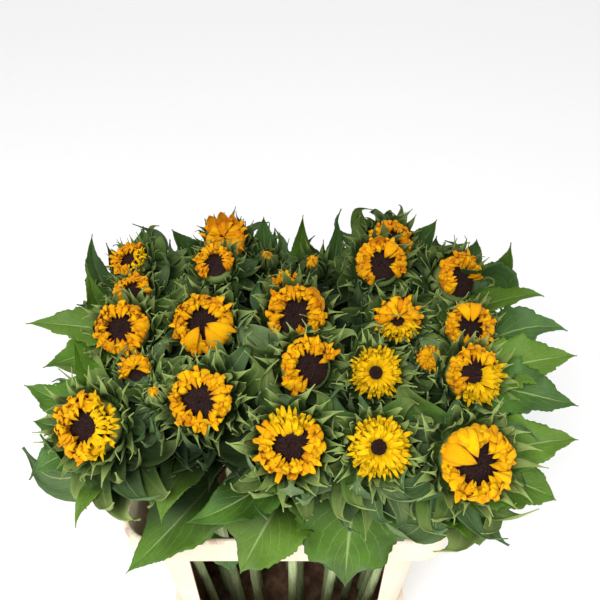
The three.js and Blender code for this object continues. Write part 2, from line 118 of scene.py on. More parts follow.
# ---- materials ----------------------------------------------------------------------------
class Shader:
    """A node material built up line by line."""

    def __init__(self, name, roughness, specular=0.4):
        self.material = bpy.data.materials.new(name)
        self.material.use_nodes = True
        self.tree = self.material.node_tree
        self.bsdf = self.tree.nodes["Principled BSDF"]
        self.bsdf.inputs["Roughness"].default_value = roughness
        self.bsdf.inputs["Specular IOR Level"].default_value = specular

    def node(self, kind, **settings):
        made = self.tree.nodes.new(kind)
        for key, value in settings.items():
            setattr(made, key, value)
        return made

    def link(self, source, target):
        self.tree.links.new(source, target)

    def feed(self, value, target):
        if isinstance(value, (int, float)):
            target.default_value = value
        elif isinstance(value, tuple):
            target.default_value = (*value, 1.0)          # a colour, opaque
        else:
            self.link(value, target)

    def math(self, operation, a, b=0.0):
        made = self.node("ShaderNodeMath", operation=operation)
        self.feed(a, made.inputs[0])
        self.feed(b, made.inputs[1])
        return made.outputs[0]

    def times(self, a, b):
        return self.math("MULTIPLY", a, b)

    def off_middle(self, value):
        """How far a value is from 0.5."""
        return self.math("ABSOLUTE", self.math("SUBTRACT", value, 0.5))

    def mix(self, part, a, b):
        made = self.node("ShaderNodeMix", data_type="RGBA")
        self.feed(part, made.inputs[0])
        self.feed(a, made.inputs[6])
        self.feed(b, made.inputs[7])
        return made.outputs[2]

    def smooth(self, value, low, high):
        made = self.node("ShaderNodeMapRange", interpolation_type="SMOOTHSTEP")
        self.feed(value, made.inputs[0])
        made.inputs[1].default_value = low
        made.inputs[2].default_value = high
        return made.outputs[0]

    def noise(self, scale, detail=3.0, roughness=0.55, at=None, stretch=None):
        made = self.node("ShaderNodeTexNoise")
        made.inputs["Scale"].default_value = scale
        made.inputs["Detail"].default_value = detail
        made.inputs["Roughness"].default_value = roughness
        where = at or self.place()
        if stretch:
            mapping = self.node("ShaderNodeMapping")
            self.link(where, mapping.inputs[0])
            mapping.inputs["Scale"].default_value = stretch
            where = mapping.outputs[0]
        self.link(where, made.inputs["Vector"])
        return made.outputs["Fac"]

    def place(self):
        return self.node("ShaderNodeTexCoord").outputs["Object"]

    def uv(self):
        return self.node("ShaderNodeTexCoord").outputs["UV"]

    def parts(self, vector):
        made = self.node("ShaderNodeSeparateXYZ")
        self.link(vector, made.inputs[0])
        return made.outputs

    def blade(self):
        """Across and along a blade, each 0 to 1."""
        return self.parts(self.uv())[:2]

    def tone(self):
        return self.node("ShaderNodeAttribute", attribute_name="tone").outputs["Fac"]

    def with_painted_shade(self, colour):
        """Painted shade: colour darkened to near-black green deep in the bunch, between the rim and
        the heads and within the container's outline, and to darker green towards the back.
        """
        x, y, z = self.parts(self.place())
        # painted shade: deep in the bunch, from just under the heads down to the rim
        depth = self.times(self.smooth(z, FLOWER_Z + 0.004, FLOWER_Z - 0.038),
                           self.smooth(z, RIM_Z - 0.04, RIM_Z))
        for off, half in ((x, HALF_W), (y, HALF_D)):
            inside = self.smooth(self.math("ABSOLUTE", off), half + 0.03, half - 0.02)
            depth = self.times(depth, inside)
        # painted shade: darker green towards the back of the bunch
        back_shade = self.times(self.smooth(y, -0.04, 0.16), 0.50)
        colour = self.mix(back_shade, colour, (0.012, 0.030, 0.003))
        return self.mix(self.times(depth, 0.90), colour, (0.005, 0.013, 0.002))

    def bump(self, height, strength, distance):
        made = self.node("ShaderNodeBump")
        made.inputs["Strength"].default_value = strength
        made.inputs["Distance"].default_value = distance
        self.feed(height, made.inputs["Height"])
        self.link(made.outputs[0], self.bsdf.inputs["Normal"])

    def done(self, colour, roughness=None):
        self.feed(colour, self.bsdf.inputs["Base Color"])
        if roughness is not None:
            self.feed(roughness, self.bsdf.inputs["Roughness"])
        return self.material


def leaf_material(name, deep, mid, vein, rough):
    s = Shader(name, rough, 0.22)
    across, along = s.blade()
    off_rib = s.off_middle(across)
    tone = s.tone()
    rib = s.smooth(off_rib, 0.030, 0.004)
    slant = s.math("SUBTRACT", s.times(along, 8.0), s.times(off_rib, 6.5))
    wobble = s.noise(11.0, 1.0)
    slant = s.math("ADD", slant, s.times(wobble, 0.9))
    comb = s.off_middle(s.math("FRACT", slant))
    side_vein = s.times(s.smooth(comb, 0.055, 0.0), s.smooth(off_rib, 0.50, 0.20))
    veins = s.math("MAXIMUM", rib, s.times(side_vein, 0.6))
    net = s.noise(240.0, 4.0, 0.7)
    patches = s.noise(16.0, 3.0)
    body = s.mix(s.smooth(patches, 0.36, 0.66), deep, mid)
    body = s.mix(s.times(s.smooth(tone, 0.25, 1.0), 0.75), body, vein)
    body = s.mix(s.times(s.smooth(tone, 0.45, 0.05), 0.45), body, (0.085, 0.165, 0.062))
    body = s.mix(s.times(s.smooth(net, 0.35, 0.75), 0.22), body, (0.02, 0.05, 0.01))
    colour = s.mix(s.times(veins, 0.62), body, s.mix(0.5, vein, (0.55, 0.66, 0.30)))
    pucker = s.math("ADD", s.times(veins, -0.9), s.times(net, 0.35))
    s.bump(pucker, 0.55, 0.0012)
    return s.done(s.with_painted_shade(colour), s.math("ADD", rough - 0.12, s.times(patches, 0.24)))


def ray_material():
    s = Shader("ray_petal", 0.66, 0.05)
    across, along = s.blade()
    tone = s.tone()
    streak = s.noise(9.0, 3.0, 0.6, at=s.uv(), stretch=(9.0, 0.7, 1.0))
    fleck = s.noise(60.0, 3.0, 0.6)
    warm = s.mix(tone, (0.47, 0.115, 0.001), (0.75, 0.37, 0.001))
    bright = s.mix(tone, (0.56, 0.185, 0.001), (0.84, 0.53, 0.002))
    colour = s.mix(s.smooth(along, 0.05, 0.62), warm, bright)
    colour = s.mix(s.times(s.smooth(streak, 0.42, 0.72), 0.55), colour, (0.62, 0.105, 0.002))
    colour = s.mix(s.times(s.smooth(fleck, 0.60, 0.80), 0.30), colour, (0.45, 0.06, 0.002))
    edge = s.smooth(s.off_middle(across), 0.34, 0.50)
    colour = s.mix(s.times(edge, 0.25), colour, (0.72, 0.17, 0.003))
    dried = s.times(s.smooth(along, 0.80, 1.0), s.smooth(fleck, 0.42, 0.62))
    colour = s.mix(s.times(dried, 0.55), colour, (0.30, 0.060, 0.004))
    s.bump(streak, 0.5, 0.0010)
    s.bsdf.inputs["Sheen Weight"].default_value = 0.03
    return s.done(colour)


def young_ray_material():
    s = Shader("young_ray_petal", 0.66, 0.05)
    across, along = s.blade()
    tone = s.tone()
    streak = s.noise(9.0, 3.0, 0.6, at=s.uv(), stretch=(9.0, 0.7, 1.0))
    outer = s.mix(tone, (0.24, 0.25, 0.010), (0.55, 0.38, 0.006))
    inner = s.mix(tone, (0.76, 0.40, 0.003), (0.86, 0.55, 0.006))
    yellow = s.times(s.smooth(along, 0.02, 0.30), s.smooth(along, 1.05, 0.62))
    colour = s.mix(yellow, outer, inner)
    colour = s.mix(s.times(s.smooth(streak, 0.45, 0.72), 0.5), colour, (0.42, 0.20, 0.004))
    s.bump(streak, 0.5, 0.0010)
    return s.done(colour)


def disc_material():
    s = Shader("seed_disc", 0.78, 0.2)
    grain = s.noise(420.0, 3.0)
    rings = s.noise(60.0, 2.0)
    colour = s.mix(s.smooth(grain, 0.40, 0.72), (0.008, 0.003, 0.003), (0.034, 0.010, 0.006))
    colour = s.mix(s.times(s.smooth(rings, 0.5, 0.8), 0.5), colour, (0.030, 0.006, 0.005))
    s.bsdf.inputs["Sheen Weight"].default_value = 0.10
    s.bsdf.inputs["Sheen Tint"].default_value = (0.45, 0.12, 0.08, 1)
    s.bump(grain, 0.6, 0.0006)
    return s.done(colour)


def bract_material():
    s = Shader("bract", 0.70, 0.12)
    deep, mid, tip = (0.011, 0.028, 0.005), (0.066, 0.132, 0.018), (0.250, 0.330, 0.095)
    across, along = s.blade()
    tone = s.tone()
    hair = s.noise(20.0, 3.0, 0.65, at=s.uv(), stretch=(7.0, 0.8, 1.0))
    patches = s.noise(70.0, 3.0)
    rib = s.smooth(s.off_middle(across), 0.09, 0.0)
    worn = s.math("ADD", patches, s.times(tone, 0.35))
    colour = s.mix(s.smooth(worn, 0.42, 0.85), deep, mid)
    colour = s.mix(s.smooth(along, 0.45, 0.92), colour, tip)
    colour = s.mix(s.times(rib, 0.30), colour, tip)
    colour = s.mix(s.times(s.smooth(hair, 0.50, 0.78), 0.35), colour, (0.22, 0.28, 0.10))
    s.bsdf.inputs["Sheen Weight"].default_value = 0.03
    s.bsdf.inputs["Sheen Tint"].default_value = (0.75, 0.85, 0.65, 1)
    s.bump(hair, 0.5, 0.0008)
    return s.done(s.with_painted_shade(colour))


def stem_material():
    s = Shader("cut_stem", 0.55, 0.35)
    streak = s.noise(60.0, 4.0, 0.6, stretch=(5.0, 5.0, 0.35))
    fleck = s.noise(330.0, 2.0)
    colour = s.mix(s.smooth(streak, 0.34, 0.70), (0.36, 0.46, 0.20), (0.60, 0.68, 0.38))
    colour = s.mix(s.times(s.smooth(fleck, 0.60, 0.80), 0.35), colour, (0.72, 0.78, 0.56))
    s.bump(s.math("ADD", streak, s.times(fleck, 0.4)), 0.5, 0.0010)
    return s.done(colour)


def crate_material():
    s = Shader("cream_plastic", 0.42, 0.45)
    clouds = s.noise(7.0, 4.0)
    scuff = s.noise(45.0, 5.0, 0.7, stretch=(1.0, 1.0, 0.25))
    spots = s.noise(34.0, 6.0, 0.62)
    colour = s.mix(s.smooth(clouds, 0.32, 0.70), (0.78, 0.65, 0.48), (0.85, 0.75, 0.61))
    colour = s.mix(s.times(s.smooth(scuff, 0.62, 0.84), 0.35), colour, (0.66, 0.54, 0.40))
    colour = s.mix(s.times(s.smooth(spots, 0.68, 0.80), 0.55), colour, (0.46, 0.20, 0.09))
    height = s.parts(s.place())[2]
    lip = s.times(s.smooth(height, RIM_Z - 0.010, RIM_Z - 0.001), s.smooth(scuff, 0.44, 0.66))
    colour = s.mix(s.times(lip, 0.75), colour, (0.34, 0.18, 0.10))
    s.bump(scuff, 0.12, 0.0006)
    return s.done(colour, s.math("ADD", 0.34, s.times(scuff, 0.25)))


def crate_inside_material():
    """The wall's inner face, darkened with painted shade: streaked cream at the rim, dark brown from
    just below it down.
    """
    s = Shader("inside_painted_shade", 0.62, 0.3)
    streak = s.noise(38.0, 5.0, 0.65, stretch=(1.0, 1.0, 0.22))
    clouds = s.noise(9.0, 4.0)
    height = s.parts(s.place())[2]
    level = s.math("ADD", height, s.times(s.math("SUBTRACT", clouds, 0.5), 0.05))
    # painted shade: the dark brown the inside turns below the rim
    shade_colour = s.mix(s.smooth(streak, 0.36, 0.66), (0.115, 0.050, 0.028), (0.26, 0.150, 0.090))
    unshaded_colour = s.mix(s.smooth(streak, 0.40, 0.70), (0.84, 0.72, 0.55), (0.62, 0.46, 0.31))
    s.bump(streak, 0.25, 0.0006)
    return s.done(s.mix(s.smooth(level, RIM_Z - 0.010, RIM_Z - 0.060), unshaded_colour, shade_colour))


def floor_material():
    s = Shader("studio_floor", 0.9, 0.1)
    grain = s.noise(30.0, 2.0)
    s.bump(grain, 0.02, 0.0005)
    return s.done(s.mix(grain, (0.93, 0.93, 0.93), (0.95, 0.95, 0.95)))


LEAF = leaf_material("leaf_upper", (0.022, 0.066, 0.003), (0.066, 0.168, 0.008),
                     (0.120, 0.225, 0.022), 0.55)
LEAF_BACK = leaf_material("leaf_under", (0.050, 0.102, 0.028), (0.105, 0.182, 0.060),
                          (0.190, 0.275, 0.112), 0.70)
RAY = ray_material()
YOUNG_RAY = young_ray_material()
DISC = disc_material()
BRACT = bract_material()
STEM = stem_material()
CRATE = crate_material()
CRATE_INSIDE = crate_inside_material()


# ---- mesh building ------------------------------------------------------------------------
def ends_closed(low, high, loop, far_loop):
    """Triangles that close two loops onto two points, each with its last corner twice."""
    nxt, far_nxt = np.roll(loop, -1), np.roll(far_loop, -1)
    under = [[low, nxt[i], loop[i], loop[i]] for i in range(len(loop))]
    over = [[high, far_loop[i], far_nxt[i], far_nxt[i]] for i in range(len(loop))]
    return np.array(under + over)


def side_faces(index):
    """Four-cornered faces between the closed rings of a tube."""
    nxt = np.roll(index, -1, axis=1)
    return np.stack([index[:-1], nxt[:-1], nxt[1:], index[1:]], axis=-1).reshape(-1, 4)


class Piece:
    """One Blender object gathered from many closed blades and bars."""

    def __init__(self):
        self.points, self.faces, self.slots, self.uvs, self.tones = [], [], [], [], []
        self.count = 0

    def add(self, points, faces, uv, tone, slots):
        self.points.append(points)
        self.faces.append(faces + self.count)
        self.slots.append(slots)
        self.uvs.append(uv)
        self.tones.append(np.full(len(points), tone))
        self.count += len(points)

    def blade(self, grid, thick, tone, slot=0, under=0):
        """A closed thin sheet over a grid, thinning to its edges; `under` is its back's slot."""
        n, m = grid.shape[:2]
        reach = np.linspace(0, 1, n) ** 2
        for axis in range(3):              # bent back, most at its tip, where it passes the box
            over = np.maximum(grid[..., axis].max(axis=1) - CAD_HIGH[axis] - BOX_EDGE, 0)
            short = np.maximum(CAD_LOW[axis] - BOX_EDGE - grid[..., axis].min(axis=1), 0)
            share = np.maximum(reach, 0.3)
            push = (short / share).max() - (over / share).max()
            grid[..., axis] += (reach * push)[:, None]
        along = np.gradient(grid, axis=0)
        across = np.gradient(grid, axis=1)
        normal = unit(np.cross(across, along))
        u = np.linspace(-1, 1, m)
        depth = thick * (1 - 0.55 * u ** 2)[None, :, None] * np.ones((n, 1, 1))
        top = (grid + normal * depth / 2).reshape(-1, 3)
        back = (grid - normal * depth / 2).reshape(-1, 3)
        index = np.arange(n * m).reshape(n, m)
        a, b, c, d = index[:-1, :-1], index[:-1, 1:], index[1:, 1:], index[1:, :-1]
        quads = np.stack([a, b, c, d], axis=-1).reshape(-1, 4)
        rim = np.concatenate(
            [index[0, :], index[1:, -1], index[-1, -2::-1], index[-2:0:-1, 0]])
        nxt = np.roll(rim, -1)
        k = n * m
        side = np.stack([rim, rim + k, nxt + k, nxt], axis=-1)
        faces = np.concatenate([quads, quads[:, ::-1] + k, side])
        slots = np.repeat([slot, max(slot, under), slot], [len(quads), len(quads), len(side)])
        uu, vv = np.meshgrid(np.linspace(0, 1, m), np.linspace(0, 1, n))
        uv = np.stack([uu, vv], axis=-1).reshape(-1, 2)
        self.add(np.concatenate([top, back]), faces, np.concatenate([uv, uv]), tone, slots)

    def bar(self, centres, radii, sides, tone, wobble=1.0):
        """A closed round bar along a line of points."""
        n = len(centres)
        tangent = unit(np.gradient(centres, axis=0))
        x = unit(np.cross((0.0, 1.0, 0.0), tangent))
        y = np.cross(tangent, x)
        angle = np.linspace(0, 2 * np.pi, sides, endpoint=False)
        r = radii[:, None] * wobble
        ring = centres[:, None] + r[..., None] * (
            x[:, None] * np.cos(angle)[None, :, None] + y[:, None] * np.sin(angle)[None, :, None])
        index = np.arange(n * sides).reshape(n, sides)
        points = np.concatenate([ring.reshape(-1, 3), centres[:1], centres[-1:]])
        uv = np.zeros((len(points), 2))
        uv[:n * sides, 0] = np.tile(np.linspace(0, 1, sides), n)
        uv[:n * sides, 1] = np.repeat(np.linspace(0, 1, n), sides)
        caps = ends_closed(n * sides, n * sides + 1, index[0], index[-1])
        faces = np.concatenate([side_faces(index), caps])
        self.add(points, faces, uv, tone, np.zeros(len(faces), int))

    def build(self, name, materials, replaced):
        mesh = bpy.data.meshes.new(name)
        polygons = [f[:3] if f[2] == f[3] else f for f in np.concatenate(self.faces).tolist()]
        mesh.from_pydata(np.concatenate(self.points).tolist(), [], polygons)
        for material in materials:
            mesh.materials.append(material)
        mesh.polygons.foreach_set("material_index", np.concatenate(self.slots).astype(np.int32))
        mesh.polygons.foreach_set("use_smooth", np.ones(len(polygons), bool))
        uvs = np.concatenate(self.uvs)
        loops = np.empty(len(mesh.loops), np.int32)
        mesh.loops.foreach_get("vertex_index", loops)
        layer = mesh.uv_layers.new(name="UVMap")
        layer.data.foreach_set("uv", uvs[loops].ravel())
        tone = mesh.attributes.new("tone", "FLOAT", "POINT")
        tone.data.foreach_set("value", np.concatenate(self.tones).astype(np.float32))
        mesh.update()
        declare(place_object(name, mesh), replaced)


def declare(made, replaced):
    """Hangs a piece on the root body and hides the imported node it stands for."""
    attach(made, "root")
    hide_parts(replaced)


def smooth_line(knots, count):
    """A line through knots, evenly divided, by cubic pieces."""
    ends = np.concatenate([[2 * knots[0] - knots[1]], knots, [2 * knots[-1] - knots[-2]]])
    lengths = np.linalg.norm(np.diff(knots, axis=0), axis=1)
    marks = np.concatenate([[0], np.cumsum(lengths)])
    made = []
    for s in np.linspace(0, marks[-1], count):
        k = min(np.searchsorted(marks, s, side="right") - 1, len(knots) - 2)
        t = (s - marks[k]) / lengths[k]
        p0, p1, p2, p3 = ends[k:k + 4]
        made.append(0.5 * (2 * p1 + (p2 - p0) * t + (2 * p0 - 5 * p1 + 4 * p2 - p3) * t ** 2
                           + (3 * p1 - p0 - 3 * p2 + p3) * t ** 3))
    return np.array(made)


def bezier_weights(t):
    """What the start, bend and end of a three-point curve weigh at t."""
    return (1 - t) ** 2, 2 * t * (1 - t), t ** 2


def bezier(a, b, c, t):
    wa, wb, wc = bezier_weights(np.asarray(t)[:, None])
    return wa * a + wb * b + wc * c


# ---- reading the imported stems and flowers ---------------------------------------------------
WELD = 3e-5                     # corners closer than this are one
TIP_REACH = 0.0045              # from one corner of a packed leaf's tip to the others
OUTER_RING = bezier_weights(0.72)   # a packed blade's rings of corners: near its tip,
INNER_RING = bezier_weights(0.42)   # and where it is widest
OUTER_WIDTH = 0.66              # the outer ring's width, in parts of the widest
FREE_STEM = 0.10                # below the rim by this, a stem has rings of its own and no leaf


def welded(node):
    mesh = bmesh.new()
    mesh.from_mesh(node.data)
    bmesh.ops.remove_doubles(mesh, verts=mesh.verts, dist=WELD)
    points = np.array([v.co[:] for v in mesh.verts])
    links = [{e.other_vert(v).index for e in v.link_edges} for v in mesh.verts]
    mesh.free()
    return points, links


def ring_frame(points, ring):
    """A blade's section: its middle, its side vector and the way its edges are lifted."""
    ring = list(ring)
    _, a, b = max((np.linalg.norm(points[a] - points[b]), a, b)
                  for i, a in enumerate(ring) for b in ring[i + 1:])
    mids = [i for i in ring if i not in (a, b)]
    middle = points[mids].mean(axis=0)
    return middle, (points[a] - points[b]) / 2, (points[a] + points[b]) / 2 - middle


def find_leaves(points, links):
    """Each leaf of a packed stem, read back from the rings of its blade, from its tip inwards."""
    leaves, seen = [], set()
    for i in range(len(points)):
        if i in seen:
            continue
        tip, stack = {i}, [i]
        while stack:
            for j in links[stack.pop()]:
                if j not in tip and np.linalg.norm(points[j] - points[i]) < TIP_REACH:
                    tip.add(j)
                    stack.append(j)
        if len(tip) != 5:
            continue
        centre = points[list(tip)].mean(axis=0)
        second = {j for k in tip for j in links[k]} - tip
        if len(second) != 4:
            continue
        ways = points[list(second)] - centre
        if (ways @ ways.mean(axis=0) <= 0).any() or np.linalg.norm(ways.mean(axis=0)) < 0.006:
            continue
        seen |= tip
        m2, s2, u2 = ring_frame(points, second)
        third = {j for k in second for j in links[k]} - tip - second
        leaf = {"tip": centre, "face": unit(u2), "side": unit(s2), "outer": m2,
                "half": np.linalg.norm(s2) / OUTER_WIDTH}
        if len(third) == 4:
            m3, s3, _ = ring_frame(points, third)
            (a2, b2, c2), (a3, b3, c3) = OUTER_RING, INNER_RING
            r2, r3 = m2 - c2 * centre, m3 - c3 * centre
            leaf["start"] = (r2 * b3 - r3 * b2) / (a2 * b3 - a3 * b2)
            leaf["bend"] = (r3 - a3 * leaf["start"]) / b3
            leaf["half"] = np.linalg.norm(s3)
        leaves.append(leaf)
    return leaves


# how far each flower has opened; the rest are open
STAGES = {"young": "a3 b3", "folded": "c2 c4 c5 d2 f1 g1 g3", "bud": "d3 f3 g2"}
NECK_DROP = 0.92                # from a head's middle down to its neck, in parts of its radius
WIDEST = {"open": 1.134, "young": 1.156, "folded": 1.07, "bud": 1.04}    # packed head's, likewise


def stage_of(name):
    return next((s for s, names in STAGES.items() if name in names.split()), "open")


class Place:
    """A middle, an axis and a radius that petals and leaflets are set out from."""

    def __init__(self, middle, axis, radius):
        self.middle, self.axis, self.radius = middle, axis, radius
        self.x = unit(np.cross((0.0, 1.0, 0.3), axis))
        self.y = np.cross(axis, self.x)

    def around(self, angle, out, height):
        """A point at an angle round the axis, from (out, height) in parts of the radius."""
        return self.middle + self.radius * (
            out * (math.cos(angle) * self.x + math.sin(angle) * self.y) + height * self.axis)


class Flower(Place):
    """One packed flower and its stem: the head's place, the stem's line and its leaves."""

    def __init__(self, name):
        self.name = name
        self.stage = stage_of(name)
        points, _ = welded(NODES["flower_" + name])
        stem, links = welded(NODES["stem_" + name])
        centre = points.mean(axis=0)
        values, vectors = np.linalg.eigh(np.cov((points - centre).T))
        others = [np.delete(values, k) for k in range(3)]
        lone = [abs(values[k] - others[k].mean()) / np.ptp(others[k]).clip(1e-12)
                for k in range(3)]
        axis = vectors[:, np.argmax(lone)]     # a round head spreads alike along the other two
        below = stem[np.argsort(np.linalg.norm(stem - centre, axis=1))[:6]].mean(axis=0)
        axis = axis * np.sign(axis @ (centre - below))
        heights = (points - centre) @ axis
        out = np.linalg.norm(points - centre - heights[:, None] * axis, axis=1)
        radius = out.max() / WIDEST[self.stage]
        self.neck = centre + axis * heights.min()
        super().__init__(self.neck + axis * NECK_DROP * radius, axis, radius)
        self.leaves = find_leaves(stem, links)
        self.line = self.stem_line(stem)
        for leaf in self.leaves:
            if "start" not in leaf:
                outer, (a, b, c) = leaf["outer"], OUTER_RING
                below = self.line[self.line[:, 2] < max(outer[2] - 0.02, self.line[1, 2])]
                leaf["start"] = below[np.argmin(np.linalg.norm(below - outer, axis=1))]
                leaf["bend"] = (outer - a * leaf["start"] - c * leaf["tip"]) / b

    def stem_line(self, stem):
        """The stem's middle line, from its foot through its rings and leaf starts to its neck."""
        foot = stem[stem[:, 2] < stem[:, 2].min() + 1e-4].mean(axis=0)
        order = stem[np.argsort(stem[:, 2])]
        rings, group = [foot], []
        for p in order:
            if group and p[2] - group[-1][2] > 0.010:
                if len(group) == 6 and group[0][2] < RIM_Z - FREE_STEM:
                    rings.append(np.mean(group, axis=0))
                group = []
            group.append(p)
        starts = [leaf["start"] for leaf in self.leaves
                  if "start" in leaf and leaf["start"][2] > RIM_Z - FREE_STEM]
        knots = sorted(rings + starts, key=lambda p: p[2])
        kept = [knots[0]]
        for p in knots[1:]:
            if p[2] - kept[-1][2] > 0.022 and self.neck[2] - p[2] > 0.03:
                kept.append(p)
        kept += [self.neck - self.axis * 0.016, self.neck]
        return smooth_line(np.array(kept), 48)

    def on_stem(self, below):
        """A place on the stem, some metres below the neck."""
        down = self.line[::-1]
        lengths = np.cumsum(np.linalg.norm(np.diff(down, axis=0), axis=1))
        k = min(int(np.searchsorted(lengths, below)), len(down) - 3)
        return Place(down[k], unit(down[k] - down[k + 2]), 1.0)


FLOWERS = [Flower(name) for name in NAMES]


# ---- leaves ---------------------------------------------------------------------------------
LEAF_ROWS, LEAF_COLUMNS = 66, 13
LEAF_WIDEN = 1.30               # a leaf's widest, in parts of its packed blade's
LEAF_STALK = 0.17               # the share of a leaf's line that is its stalk
LEAF_PEAK = 0.249               # where a blade is widest, from its stalk's end to its tip
LEAF_ROUND, LEAF_TAPER = 0.48, 1.45     # how its outline swells and narrows


def add_leaf(piece, leaf, rng):
    """One heart-shaped leaf on the line of its packed blade."""
    t = np.linspace(0.0, 1.0, LEAF_ROWS)
    t = 0.25 * t + 0.75 * t ** 0.85                       # rows a little closer near the stalk
    line = bezier(leaf["start"], leaf["bend"], leaf["tip"], t)
    tangent = unit(np.gradient(line, axis=0))
    side = unit(leaf["side"] - tangent * (tangent @ leaf["side"])[:, None])
    if np.cross(side, tangent)[LEAF_ROWS // 2] @ leaf["face"] < 0:
        side = -side
    face = np.cross(side, tangent)
    s = np.clip((t - LEAF_STALK) / (1 - LEAF_STALK), 0, 1)
    shape = (s / LEAF_PEAK) ** LEAF_ROUND * ((1 - s) / (1 - LEAF_PEAK)) ** LEAF_TAPER
    length = np.linalg.norm(np.diff(line, axis=0), axis=1).sum()
    half = min(leaf["half"] * LEAF_WIDEN, 0.42 * length)
    stalk = 0.0016 * (1 - s) ** 2 + 0.0003
    lobes = 0.20 if abs(leaf["tip"][0]) > HALF_W + 0.02 else 0.06
    teeth = 1 + (lobes * (((s * 5 + rng.uniform(0, 1)) % 1) ** 1.2 - 0.4)
                 + 0.07 * (((s * 17 + rng.uniform(0, 1)) % 1) - 0.5)) * (s > 0.04)
    width = np.maximum(half * shape * teeth, stalk)
    u = np.linspace(-1, 1, LEAF_COLUMNS)
    phases, ripple = rng.uniform(0, 6, 2), rng.uniform(0.05, 0.13)
    lift = width[:, None] * (0.30 * np.abs(u) ** 1.3)
    for sign, phase in zip((-1, 1), phases):
        edge = np.clip(sign * u, 0, 1) ** 2
        wave = np.sin(s * rng.uniform(13, 19) + phase)
        lift += (width * ripple * 2.0 * wave)[:, None] * edge
    sag = -0.010 * (s ** 3) * rng.uniform(0.0, 1.0)
    slant = s[:, None] * 8.0 - np.abs(u) * 3.2
    veins = 0.00045 * np.sin(slant * 2 * np.pi) * (shape > 0.3)[:, None]
    rib = -0.0012 * np.exp(-(u / 0.10) ** 2) * (s > 0.03)[:, None]
    grid = (line[:, None] + side[:, None] * (width[:, None] * u)[..., None]
            + face[:, None] * (lift + veins + rib)[..., None] + (UP * sag[:, None])[:, None])
    thick = np.where(s > 0.02, 0.0011, 0.0030)
    piece.blade(grid, thick[:, None, None], rng.random(), under=1)


# ---- parts of a flower ------------------------------------------------------------------------
def add_strip(piece, place, angle, path, half, rng, thick, tone, crinkle, rows, columns, peak,
              sharp, cup, twist=0.0, slot=0, sweep=0.0):
    """A petal or bract: a strip along a path of (out, height) in parts of the place's radius."""
    bends = sweep * np.linspace(0, 1, len(path)) ** 2
    knots = np.array([place.around(angle + bend, out, height)
                      for bend, (out, height) in zip(bends, path)])
    line = smooth_line(knots, rows)
    tangent = unit(np.gradient(line, axis=0))
    across = -math.sin(angle) * place.x + math.cos(angle) * place.y
    side = unit(across - tangent * (tangent @ across)[:, None])
    face = np.cross(side, tangent)
    s = np.linspace(0, 1, rows)
    cos, sin = np.cos(twist * s[:, None]), np.sin(twist * s[:, None])
    side, face = side * cos + face * sin, face * cos - side * sin
    a = peak / (1 - peak) * sharp
    shape = (s + 0.02) ** a * (1 - s) ** sharp
    width = place.radius * half * np.maximum(shape / shape.max(), 0.05 + 0.45 * (s < peak))
    u = np.linspace(-1, 1, columns)
    phase = rng.uniform(0, 6, 3)
    folds = np.sin(u * 4.4 + phase[0]) * (0.6 + 0.4 * np.sin(s * 5 + phase[1]))[:, None]
    folds += 0.5 * np.sin(s * 9 + phase[2])[:, None] * u
    lift = width[:, None] * (cup * u ** 2 + crinkle * folds)
    grid = (line[:, None] + side[:, None] * (width[:, None] * u)[..., None]
            - face[:, None] * lift[..., None])
    piece.blade(grid, thick, tone, slot)


def near(rng, path, spread):
    """A path with its points moved at random, more and more towards its end."""
    shares = np.arange(len(path)) / len(path)
    return [(out + rng.uniform(-spread, spread) * share,
             height + rng.uniform(-spread, spread) * share)
            for share, (out, height) in zip(shares, path)]


FLORETS = 150
DISC_RINGS, DISC_SIDES = 25, 84
DISC_RISE, DISC_FOOT = 0.16, -0.2       # its dome and its underside, in parts of the radius
GOLDEN_ANGLE = math.pi * (3 - math.sqrt(5))


def add_disc(piece, flower, rng, wide):
    """The seed disc: a low dome of small florets set in spirals."""
    florets = np.arange(FLORETS)
    far = wide * np.sqrt((florets + 0.5) / FLORETS)
    spots = np.stack([far * np.cos(florets * GOLDEN_ANGLE), far * np.sin(florets * GOLDEN_ANGLE)],
                     axis=1)
    out = np.linspace(0.0, 1.0, DISC_RINGS + 1)[1:] * wide
    angle = np.linspace(0, 2 * np.pi, DISC_SIDES, endpoint=False)
    flat = np.stack([out[:, None] * np.cos(angle), out[:, None] * np.sin(angle)], axis=-1)
    nearest = np.sqrt(((flat[:, :, None] - spots) ** 2).sum(axis=-1)).min(axis=-1)
    grain = wide * 1.1 / math.sqrt(FLORETS)
    dome = DISC_RISE * (1 - (out / wide) ** 2) - 0.10 * np.exp(-(out / 0.16) ** 2)
    height = dome[:, None] + 0.055 * np.clip(1 - (nearest / grain) ** 2, 0, 1)
    points = flower.middle + flower.radius * (flat[..., :1] * flower.x + flat[..., 1:] * flower.y
                                              + height[..., None] * flower.axis)
    top = flower.middle + flower.radius * (DISC_RISE - 0.06) * flower.axis
    low = flower.middle + flower.radius * DISC_FOOT * flower.axis
    everything = np.concatenate([points.reshape(-1, 3), [top, low]])
    index = np.arange(DISC_RINGS * DISC_SIDES).reshape(DISC_RINGS, DISC_SIDES)[:, ::-1]
    caps = ends_closed(index.size, index.size + 1, index[0], index[-1])
    faces = np.concatenate([side_faces(index), caps])
    piece.add(everything, faces, np.zeros((len(everything), 2)), rng.random(),
              np.zeros(len(faces), int))


